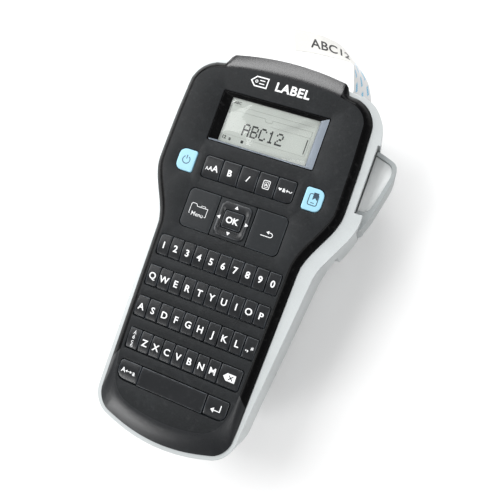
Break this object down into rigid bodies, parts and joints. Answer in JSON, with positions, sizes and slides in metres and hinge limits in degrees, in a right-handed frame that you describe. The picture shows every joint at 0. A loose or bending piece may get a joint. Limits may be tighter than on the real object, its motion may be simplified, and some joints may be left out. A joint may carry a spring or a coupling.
{
  "type": "handheld label maker",
  "caption": "Handheld label maker with a keyboard, display, side cutter lever, hinged cassette door, battery door and a curling printed tape.",
  "frame": {"origin": "on the flat back of the head, on the centre line, where the label maker rests on a table", "axes": "+X to the cutter lever's side, +Y from the keyboard to the head, +Z out of the keys"},
  "size_m": [0.1205, 0.2255, 0.0522],
  "materials": {
    "black_cover": "fine matte texture",
    "silver_cover": "satin silver paint in the moulding",
    "silver_lever": "satin silver",
    "clear_window": "clear, polished",
    "bezel": "semi-gloss",
    "display": "grey-green glass cell",
    "dark_key": "matte with printed legends",
    "blue_key": "light blue, matte",
    "silicone": "silicone rubber",
    "board": "green circuit board",
    "chassis": "black moulding",
    "cassette": "ivory moulding",
    "tape": "white laminated tape",
    "steel": "bright steel",
    "roller_rubber": "ground rubber",
    "gear_plastic": "natural acetal",
    "brass": "plain brass",
    "cell_jacket": "printed jacket"
  },
  "bodies": {
    "housing": {"front_cover": "black_cover", "rear_cover": "silver_cover", "display_window": "clear_window", "display_bezel": "bezel", "display_module": "display", "keypad_mat": "silicone", "main_board": "board", "cassette_bay": "chassis", "cassette_shell": "cassette", "label_tape": "tape", "print_head": "steel", "drive_motor": "steel", "lever_pin": "steel", "door_hinge_pin": "steel", "battery_tray": "chassis", "batteries": "cell_jacket", "battery_contacts": "brass", "case_screws": "steel"},
    "cutter_lever": {"cutter_lever": "silver_lever"},
    "cutter_slide": {"cutter_blade": "steel", "blade_carrier": "gear_plastic"},
    "cassette_door": {"cassette_door": "silver_cover"},
    "battery_door": {"battery_door": "silver_cover"},
    "platen": {"platen_roller": "roller_rubber", "platen_gear": "gear_plastic"},
    "idler": {"idler_gear": "gear_plastic"},
    "pinion": {"motor_pinion": "brass"},
    "tape_spool": {"tape_spool": "tape"},
    "takeup_spool": {"takeup_spool": "chassis"},
    "key_power": {"key_power": "blue_key"},
    "key_print": {"key_print": "blue_key"},
    "key_size": {"key_size": "dark_key"},
    "key_bold": {"key_bold": "dark_key"},
    "key_italic": {"key_italic": "dark_key"},
    "key_frame": {"key_frame": "dark_key"},
    "key_insert": {"key_insert": "dark_key"},
    "key_menu": {"key_menu": "dark_key"},
    "key_back": {"key_back": "dark_key"},
    "nav_ring": {"nav_ring": "dark_key"},
    "key_ok": {"key_ok": "dark_key"},
    "key_1": {"key_1": "dark_key"},
    "key_2": {"key_2": "dark_key"},
    "key_3": {"key_3": "dark_key"},
    "key_4": {"key_4": "dark_key"},
    "key_5": {"key_5": "dark_key"},
    "key_6": {"key_6": "dark_key"},
    "key_7": {"key_7": "dark_key"},
    "key_8": {"key_8": "dark_key"},
    "key_9": {"key_9": "dark_key"},
    "key_0": {"key_0": "dark_key"},
    "keys_row_q": {"keys_row_q": "dark_key"},
    "keys_row_a": {"keys_row_a": "dark_key"},
    "keys_row_z": {"keys_row_z": "dark_key"},
    "key_accent": {"key_accent": "dark_key"},
    "key_delete": {"key_delete": "dark_key"},
    "key_caps": {"key_caps": "dark_key"},
    "key_space": {"key_space": "dark_key"},
    "key_return": {"key_return": "dark_key"}
  },
  "joints": [
    {"name": "cutter_lever_swing", "type": "hinge", "parent": "housing", "child": "cutter_lever", "pos_m": [0.0574, -0.0182, 0.027], "axis": [0, 0, 1], "range_deg": [0, 7], "stiffness_Nm_per_rad": 0.6, "springref_deg": -5.73},
    {"name": "cutter_slide", "type": "slide", "parent": "housing", "child": "cutter_slide", "axis": [-1, 0, 0], "range_m": [0, 0.0053]},
    {"name": "cassette_door_hinge", "type": "hinge", "parent": "housing", "child": "cassette_door", "pos_m": [0, -0.0295, 0.0034], "axis": [-1, 0, 0], "range_deg": [0, 90]},
    {"name": "battery_door_off", "type": "slide", "parent": "housing", "child": "battery_door", "axis": [0, -0.1564, -0.9877], "range_m": [0, 0.02]},
    {"name": "idler_spin", "type": "hinge", "parent": "housing", "child": "idler", "pos_m": [0.02433, 0.01307, 0.028], "axis": [0, 0, 1], "continuous": true},
    {"name": "platen_spin", "type": "hinge", "parent": "housing", "child": "platen", "pos_m": [0.03485, 0.007, 0.02], "axis": [0, 0, 1], "continuous": true},
    {"name": "pinion_spin", "type": "hinge", "parent": "housing", "child": "pinion", "pos_m": [0.01484, 0.01855, 0.028], "axis": [0, 0, 1], "continuous": true},
    {"name": "tape_spool_spin", "type": "hinge", "parent": "housing", "child": "tape_spool", "pos_m": [-0.01, 0, 0.014], "axis": [0, 0, 1], "continuous": true},
    {"name": "takeup_spool_spin", "type": "hinge", "parent": "housing", "child": "takeup_spool", "pos_m": [0.015, 0.013, 0.014], "axis": [0, 0, 1], "continuous": true},
    {"name": "key_power_press", "type": "slide", "parent": "housing", "child": "key_power", "axis": [0, 0, -1], "range_m": [0, 0.0008], "stiffness_N_per_m": 500, "springref_m": -0.0004},
    {"name": "key_print_press", "type": "slide", "parent": "housing", "child": "key_print", "axis": [0, 0, -1], "range_m": [0, 0.0008], "stiffness_N_per_m": 500, "springref_m": -0.0004},
    {"name": "key_size_press", "type": "slide", "parent": "housing", "child": "key_size", "axis": [0, 0, -1], "range_m": [0, 0.0008], "stiffness_N_per_m": 500, "springref_m": -0.0004},
    {"name": "key_bold_press", "type": "slide", "parent": "housing", "child": "key_bold", "axis": [0, 0, -1], "range_m": [0, 0.0008], "stiffness_N_per_m": 500, "springref_m": -0.0004},
    {"name": "key_italic_press", "type": "slide", "parent": "housing", "child": "key_italic", "axis": [0, 0, -1], "range_m": [0, 0.0008], "stiffness_N_per_m": 500, "springref_m": -0.0004},
    {"name": "key_frame_press", "type": "slide", "parent": "housing", "child": "key_frame", "axis": [0, 0, -1], "range_m": [0, 0.0008], "stiffness_N_per_m": 500, "springref_m": -0.0004},
    {"name": "key_insert_press", "type": "slide", "parent": "housing", "child": "key_insert", "axis": [0, 0, -1], "range_m": [0, 0.0008], "stiffness_N_per_m": 500, "springref_m": -0.0004},
    {"name": "key_menu_press", "type": "slide", "parent": "housing", "child": "key_menu", "axis": [0, 0, -1], "range_m": [0, 0.0008], "stiffness_N_per_m": 500, "springref_m": -0.0004},
    {"name": "key_back_press", "type": "slide", "parent": "housing", "child": "key_back", "axis": [0, 0, -1], "range_m": [0, 0.0008], "stiffness_N_per_m": 500, "springref_m": -0.0004},
    {"name": "nav_ring_press", "type": "slide", "parent": "housing", "child": "nav_ring", "axis": [0, 0, -1], "range_m": [0, 0.0008], "stiffness_N_per_m": 500, "springref_m": -0.0004},
    {"name": "key_ok_press", "type": "slide", "parent": "housing", "child": "key_ok", "axis": [0, 0, -1], "range_m": [0, 0.0008], "stiffness_N_per_m": 500, "springref_m": -0.0004},
    {"name": "key_1_press", "type": "slide", "parent": "housing", "child": "key_1", "axis": [0, 0, -1], "range_m": [0, 0.0008], "stiffness_N_per_m": 500, "springref_m": -0.0004},
    {"name": "key_2_press", "type": "slide", "parent": "housing", "child": "key_2", "axis": [0, 0, -1], "range_m": [0, 0.0008], "stiffness_N_per_m": 500, "springref_m": -0.0004},
    {"name": "key_3_press", "type": "slide", "parent": "housing", "child": "key_3", "axis": [0, 0, -1], "range_m": [0, 0.0008], "stiffness_N_per_m": 500, "springref_m": -0.0004},
    {"name": "key_4_press", "type": "slide", "parent": "housing", "child": "key_4", "axis": [0, 0, -1], "range_m": [0, 0.0008], "stiffness_N_per_m": 500, "springref_m": -0.0004},
    {"name": "key_5_press", "type": "slide", "parent": "housing", "child": "key_5", "axis": [0, 0, -1], "range_m": [0, 0.0008], "stiffness_N_per_m": 500, "springref_m": -0.0004},
    {"name": "key_6_press", "type": "slide", "parent": "housing", "child": "key_6", "axis": [0, 0, -1], "range_m": [0, 0.0008], "stiffness_N_per_m": 500, "springref_m": -0.0004},
    {"name": "key_7_press", "type": "slide", "parent": "housing", "child": "key_7", "axis": [0, 0, -1], "range_m": [0, 0.0008], "stiffness_N_per_m": 500, "springref_m": -0.0004},
    {"name": "key_8_press", "type": "slide", "parent": "housing", "child": "key_8", "axis": [0, 0, -1], "range_m": [0, 0.0008], "stiffness_N_per_m": 500, "springref_m": -0.0004},
    {"name": "key_9_press", "type": "slide", "parent": "housing", "child": "key_9", "axis": [0, 0, -1], "range_m": [0, 0.0008], "stiffness_N_per_m": 500, "springref_m": -0.0004},
    {"name": "key_0_press", "type": "slide", "parent": "housing", "child": "key_0", "axis": [0, 0, -1], "range_m": [0, 0.0008], "stiffness_N_per_m": 500, "springref_m": -0.0004},
    {"name": "keys_row_q_press", "type": "slide", "parent": "housing", "child": "keys_row_q", "axis": [0, 0, -1], "range_m": [0, 0.0008], "stiffness_N_per_m": 1200, "springref_m": -0.0004},
    {"name": "keys_row_a_press", "type": "slide", "parent": "housing", "child": "keys_row_a", "axis": [0, 0, -1], "range_m": [0, 0.0008], "stiffness_N_per_m": 1200, "springref_m": -0.0004},
    {"name": "keys_row_z_press", "type": "slide", "parent": "housing", "child": "keys_row_z", "axis": [0, 0, -1], "range_m": [0, 0.0008], "stiffness_N_per_m": 1200, "springref_m": -0.0004},
    {"name": "key_accent_press", "type": "slide", "parent": "housing", "child": "key_accent", "axis": [0, 0, -1], "range_m": [0, 0.0008], "stiffness_N_per_m": 500, "springref_m": -0.0004},
    {"name": "key_delete_press", "type": "slide", "parent": "housing", "child": "key_delete", "axis": [0, 0, -1], "range_m": [0, 0.0008], "stiffness_N_per_m": 500, "springref_m": -0.0004},
    {"name": "key_caps_press", "type": "slide", "parent": "housing", "child": "key_caps", "axis": [0, 0, -1], "range_m": [0, 0.0008], "stiffness_N_per_m": 500, "springref_m": -0.0004},
    {"name": "key_space_press", "type": "slide", "parent": "housing", "child": "key_space", "axis": [0, 0, -1], "range_m": [0, 0.0008], "stiffness_N_per_m": 500, "springref_m": -0.0004},
    {"name": "key_return_press", "type": "slide", "parent": "housing", "child": "key_return", "axis": [0, 0, -1], "range_m": [0, 0.0008], "stiffness_N_per_m": 500, "springref_m": -0.0004}
  ],
  "couplings": [
    {"joint": "cutter_slide", "follows": "cutter_lever_swing", "m_per_rad": 0.042563},
    {"joint": "platen_spin", "follows": "idler_spin", "ratio": -1.5},
    {"joint": "pinion_spin", "follows": "idler_spin", "ratio": -2}
  ]
}
